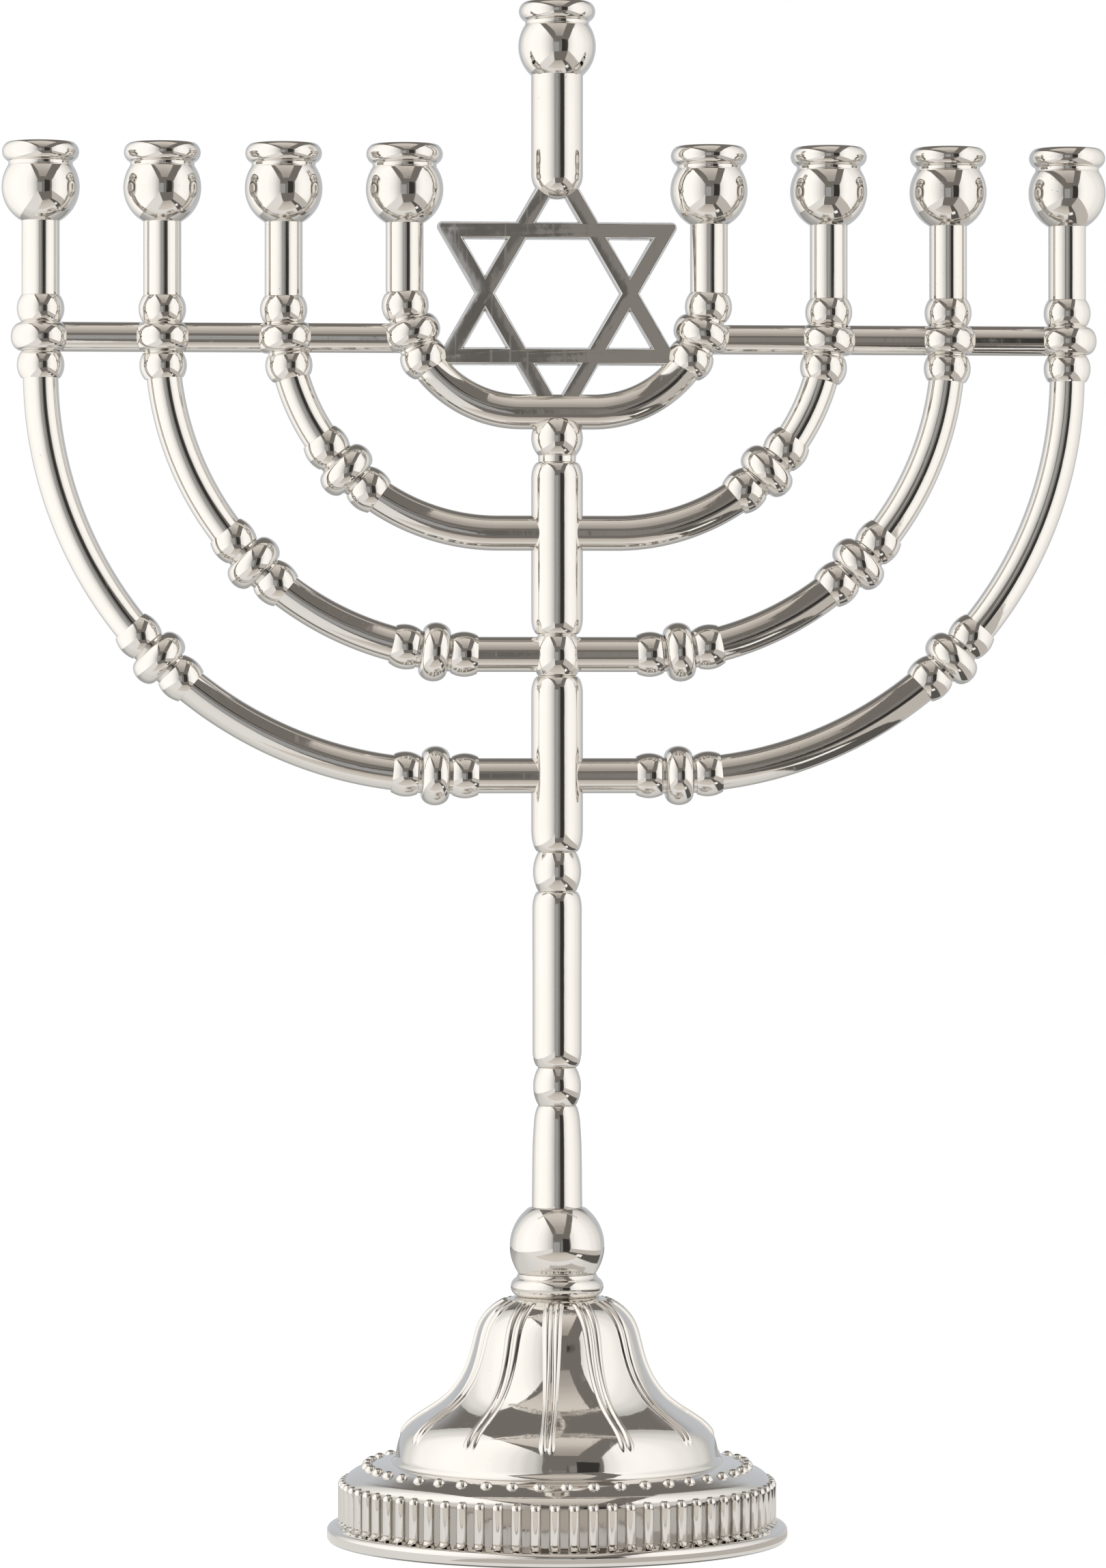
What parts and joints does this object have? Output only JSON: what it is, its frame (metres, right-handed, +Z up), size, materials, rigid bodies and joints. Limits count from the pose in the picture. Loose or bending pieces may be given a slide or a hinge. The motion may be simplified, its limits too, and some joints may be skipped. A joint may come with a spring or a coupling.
{
  "type": "menorah",
  "caption": "Tall nickel-plated branched candelabrum with curved arms, beaded joints, a raised middle cup, a six-pointed star and a bell foot.",
  "frame": {"origin": "middle of the underside, where the foot meets the table", "axes": "+Z up the stem to the middle cup, +X towards the right-hand branches seen from the front, -Y towards the viewer of the front"},
  "size_m": [0.22, 0.0916, 0.3053],
  "materials": {
    "nickel_plate": "polished nickel plate, mirror bright, with faint polishing marks",
    "zinc_steel": "zinc-plated fastener",
    "base_rubber": "matt black sheet rubber"
  },
  "bodies": {
    "root": {"foot_plinth": "nickel_plate", "base_cover": "base_rubber", "bell": "nickel_plate", "collar_ring": "nickel_plate", "stem_ball": "nickel_plate", "stem_barrel_short": "nickel_plate", "stem_bead_lower": "nickel_plate", "stem_barrel_long": "nickel_plate", "stem_bead_upper": "nickel_plate", "column_lower": "nickel_plate", "column_upper": "nickel_plate", "column_top_bead": "nickel_plate", "tie_rod": "zinc_steel", "tie_washer": "zinc_steel", "tie_nut": "zinc_steel", "arm_1": "nickel_plate", "arm_2": "nickel_plate", "arm_3": "nickel_plate", "arm_4": "nickel_plate", "knop_top_left_1": "nickel_plate", "knop_top_left_2": "nickel_plate", "knop_top_left_3": "nickel_plate", "knop_top_left_4": "nickel_plate", "knop_mid_left_2": "nickel_plate", "knop_mid_left_3": "nickel_plate", "knop_mid_left_4": "nickel_plate", "knop_low_left_3": "nickel_plate", "knop_low_left_4": "nickel_plate", "crossbar_left_1": "nickel_plate", "crossbar_left_2": "nickel_plate", "crossbar_left_3": "nickel_plate", "cup_left_1": "nickel_plate", "cup_left_2": "nickel_plate", "cup_left_3": "nickel_plate", "cup_left_4": "nickel_plate", "knop_top_right_1": "nickel_plate", "knop_top_right_2": "nickel_plate", "knop_top_right_3": "nickel_plate", "knop_top_right_4": "nickel_plate", "knop_mid_right_2": "nickel_plate", "knop_mid_right_3": "nickel_plate", "knop_mid_right_4": "nickel_plate", "knop_low_right_3": "nickel_plate", "knop_low_right_4": "nickel_plate", "crossbar_right_1": "nickel_plate", "crossbar_right_2": "nickel_plate", "crossbar_right_3": "nickel_plate", "cup_right_1": "nickel_plate", "cup_right_2": "nickel_plate", "cup_right_3": "nickel_plate", "cup_right_4": "nickel_plate", "star": "nickel_plate", "cup_shamash": "nickel_plate"}
  },
  "joints": []
}
